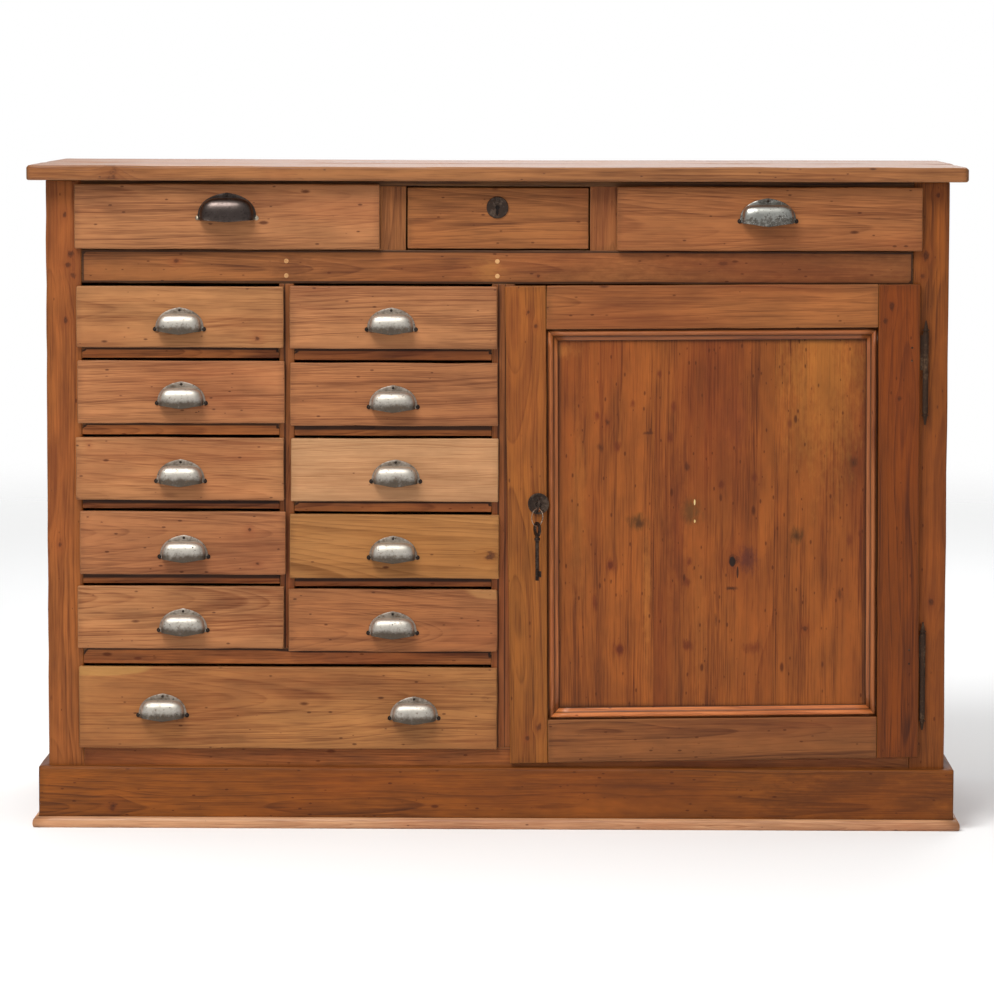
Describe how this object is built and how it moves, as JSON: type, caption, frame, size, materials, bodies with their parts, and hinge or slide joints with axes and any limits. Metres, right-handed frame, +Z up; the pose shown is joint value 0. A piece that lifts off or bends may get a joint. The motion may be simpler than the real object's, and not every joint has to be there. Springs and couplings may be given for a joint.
{
  "type": "seed storage cabinet",
  "caption": "Floor-standing pine cabinet: three drawers over two columns of small drawers, a wide drawer and a cupboard with a framed, lockable door; cup pulls, plinth.",
  "frame": {"origin": "centre of the bounding box, on the floor", "axes": "+X to the viewer's right along the front, +Y to the back, +Z up"},
  "size_m": [1.373, 0.5282, 0.9762],
  "materials": {
    "carcass_pine": "waxed, worn",
    "inner_pine": "bare, aged",
    "top_pine": "waxed, worn",
    "plinth_pine": "waxed, worn",
    "bead_pine": "waxed",
    "door_pine": "waxed, worn",
    "drawer_pine": "waxed, worn",
    "dark_iron": "blackened",
    "lock_iron": "dark, worn",
    "key_steel": "dark, worn",
    "ring_steel": "worn",
    "bronze_pull": "dark bronze patina",
    "pitted_iron_pull": "pitted, worn bright",
    "worn_steel_pull": "worn, half bright"
  },
  "bodies": {
    "carcass": {"top_boards": "top_pine", "side_left": "carcass_pine", "side_right": "carcass_pine", "front_stile_left": "carcass_pine", "front_stile_right": "carcass_pine", "back_boards": "inner_pine", "face_rails": "carcass_pine", "frieze_dividers": "carcass_pine", "column_divider": "carcass_pine", "drawer_rails": "carcass_pine", "centre_stile": "carcass_pine", "partitions": "inner_pine", "drawer_runners": "inner_pine", "bottom_rail": "carcass_pine", "floor_board": "inner_pine", "dust_board": "inner_pine", "cupboard_shelf": "inner_pine", "plinth_boards": "plinth_pine", "plinth_bead": "bead_pine", "hinge_post_leaves": "dark_iron"},
    "drawer_left_1": {"drawer_left_1": "drawer_pine", "pull_left_1": "worn_steel_pull"},
    "drawer_right_1": {"drawer_right_1": "drawer_pine", "pull_right_1": "worn_steel_pull"},
    "drawer_left_2": {"drawer_left_2": "drawer_pine", "pull_left_2": "worn_steel_pull"},
    "drawer_right_2": {"drawer_right_2": "drawer_pine", "pull_right_2": "worn_steel_pull"},
    "drawer_left_3": {"drawer_left_3": "drawer_pine", "pull_left_3": "worn_steel_pull"},
    "drawer_right_3": {"drawer_right_3": "drawer_pine", "pull_right_3": "worn_steel_pull"},
    "drawer_left_4": {"drawer_left_4": "drawer_pine", "pull_left_4": "worn_steel_pull"},
    "drawer_right_4": {"drawer_right_4": "drawer_pine", "pull_right_4": "worn_steel_pull"},
    "drawer_left_5": {"drawer_left_5": "drawer_pine", "pull_left_5": "worn_steel_pull"},
    "drawer_right_5": {"drawer_right_5": "drawer_pine", "pull_right_5": "worn_steel_pull"},
    "bottom_drawer": {"bottom_drawer": "drawer_pine", "pulls_bottom": "worn_steel_pull"},
    "top_drawer_left": {"top_drawer_left": "drawer_pine", "pull_top_left": "bronze_pull"},
    "top_drawer_right": {"top_drawer_right": "drawer_pine", "pull_top_right": "pitted_iron_pull"},
    "top_drawer_centre": {"top_drawer_centre": "drawer_pine", "drawer_lock": "lock_iron"},
    "door": {"door_lock_stile": "door_pine", "door_hinge_stile": "door_pine", "door_rails": "door_pine", "door_panel": "door_pine", "door_moulding": "door_pine", "hinge_door_leaves": "dark_iron", "door_lock": "lock_iron"},
    "door_lock_bolt": {"door_lock_bolt": "lock_iron"},
    "door_key": {"door_key": "key_steel"},
    "key_ring": {"key_ring": "ring_steel"},
    "spare_key": {"spare_key": "key_steel"},
    "drawer_lock_bolt": {"drawer_lock_bolt": "lock_iron"}
  },
  "joints": [
    {"name": "drawer_left_1_slide", "type": "slide", "parent": "carcass", "child": "drawer_left_1", "axis": [0, -1, 0], "range_m": [0, 0.32]},
    {"name": "drawer_right_1_slide", "type": "slide", "parent": "carcass", "child": "drawer_right_1", "axis": [0, -1, 0], "range_m": [0, 0.32]},
    {"name": "drawer_left_2_slide", "type": "slide", "parent": "carcass", "child": "drawer_left_2", "axis": [0, -1, 0], "range_m": [0, 0.32]},
    {"name": "drawer_right_2_slide", "type": "slide", "parent": "carcass", "child": "drawer_right_2", "axis": [0, -1, 0], "range_m": [0, 0.32]},
    {"name": "drawer_left_3_slide", "type": "slide", "parent": "carcass", "child": "drawer_left_3", "axis": [0, -1, 0], "range_m": [0, 0.32]},
    {"name": "drawer_right_3_slide", "type": "slide", "parent": "carcass", "child": "drawer_right_3", "axis": [0, -1, 0], "range_m": [0, 0.32]},
    {"name": "drawer_left_4_slide", "type": "slide", "parent": "carcass", "child": "drawer_left_4", "axis": [0, -1, 0], "range_m": [0, 0.32]},
    {"name": "drawer_right_4_slide", "type": "slide", "parent": "carcass", "child": "drawer_right_4", "axis": [0, -1, 0], "range_m": [0, 0.32]},
    {"name": "drawer_left_5_slide", "type": "slide", "parent": "carcass", "child": "drawer_left_5", "axis": [0, -1, 0], "range_m": [0, 0.32]},
    {"name": "drawer_right_5_slide", "type": "slide", "parent": "carcass", "child": "drawer_right_5", "axis": [0, -1, 0], "range_m": [0, 0.32]},
    {"name": "bottom_drawer_slide", "type": "slide", "parent": "carcass", "child": "bottom_drawer", "axis": [0, -1, 0], "range_m": [0, 0.32]},
    {"name": "top_drawer_left_slide", "type": "slide", "parent": "carcass", "child": "top_drawer_left", "axis": [0, -1, 0], "range_m": [0, 0.32]},
    {"name": "top_drawer_right_slide", "type": "slide", "parent": "carcass", "child": "top_drawer_right", "axis": [0, -1, 0], "range_m": [0, 0.32]},
    {"name": "top_drawer_centre_slide", "type": "slide", "parent": "carcass", "child": "top_drawer_centre", "axis": [0, -1, 0], "range_m": [0, 0.32]},
    {"name": "cupboard_door_hinge", "type": "hinge", "parent": "carcass", "child": "door", "pos_m": [0.6278, -0.2215, 0.45], "axis": [0, 0, 1], "range_deg": [0, 165]},
    {"name": "door_key_turn", "type": "hinge", "parent": "door", "child": "door_key", "pos_m": [0.0619, -0.2264, 0.4816], "axis": [0, -1, 0], "range_deg": [0, 360]},
    {"name": "door_lock_bolt_slide", "type": "slide", "parent": "door", "child": "door_lock_bolt", "axis": [-1, 0, 0], "range_m": [0, 0.009]},
    {"name": "key_ring_swing", "type": "hinge", "parent": "door_key", "child": "key_ring", "pos_m": [0.05992, -0.2529, 0.47185], "axis": [0, 1, 0], "range_deg": [-30, 30]},
    {"name": "spare_key_swing", "type": "hinge", "parent": "key_ring", "child": "spare_key", "pos_m": [0.06023, -0.2529, 0.45157], "axis": [0.6428, 0.766, 0], "range_deg": [-60, 18]},
    {"name": "drawer_lock_bolt_slide", "type": "slide", "parent": "top_drawer_centre", "child": "drawer_lock_bolt", "axis": [0, 0, 1], "range_m": [0, 0.006]}
  ],
  "couplings": [
    {"joint": "door_key_turn", "follows": "door_lock_bolt_slide", "rad_per_m": 698.12}
  ]
}
